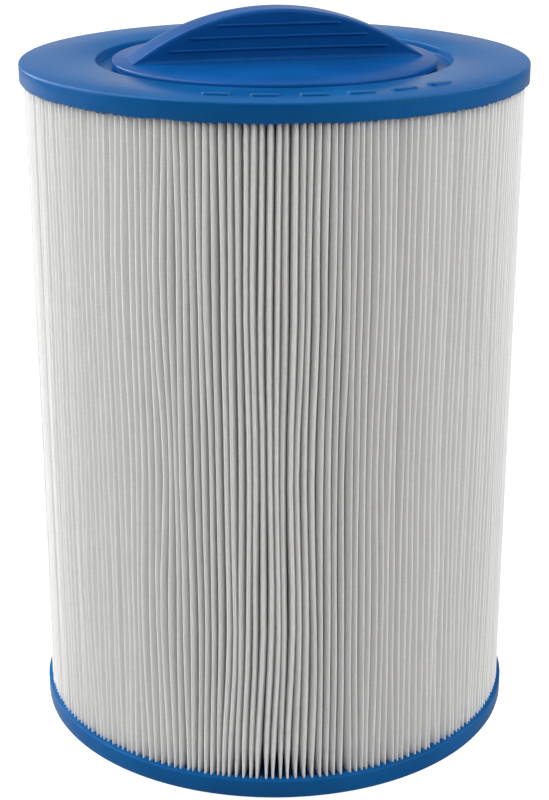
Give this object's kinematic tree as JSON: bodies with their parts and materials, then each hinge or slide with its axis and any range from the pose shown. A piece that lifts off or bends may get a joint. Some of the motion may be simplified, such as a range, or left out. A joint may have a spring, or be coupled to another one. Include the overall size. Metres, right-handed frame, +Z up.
{
  "type": "filter cartridge",
  "caption": "Screw-in pleated filter cartridge for a pool or spa skimmer, with cast end caps, a grip fin on top and a threaded outlet below.",
  "frame": {"origin": "centre of the threaded nipple's end face, which is the lowest point of the part", "axes": "+Z up along the cartridge's axis, the grip fin on top runs along X"},
  "size_m": [0.1524, 0.1524, 0.2462],
  "materials": {
    "cast_urethane": "cast polyurethane, satin gloss",
    "moulded_blue": "injection moulded plastic, satin gloss",
    "polyester_media": "spunbonded polyester, matt",
    "seam_adhesive": "hot melt adhesive",
    "core_plastic": "moulded plastic, matt"
  },
  "bodies": {
    "root": {"top_end_cap": "cast_urethane", "bottom_end_cap": "cast_urethane", "handle": "moulded_blue", "threaded_adapter": "moulded_blue", "pleated_media": "polyester_media", "media_seam_bead": "seam_adhesive", "core_tube": "core_plastic"}
  },
  "joints": []
}
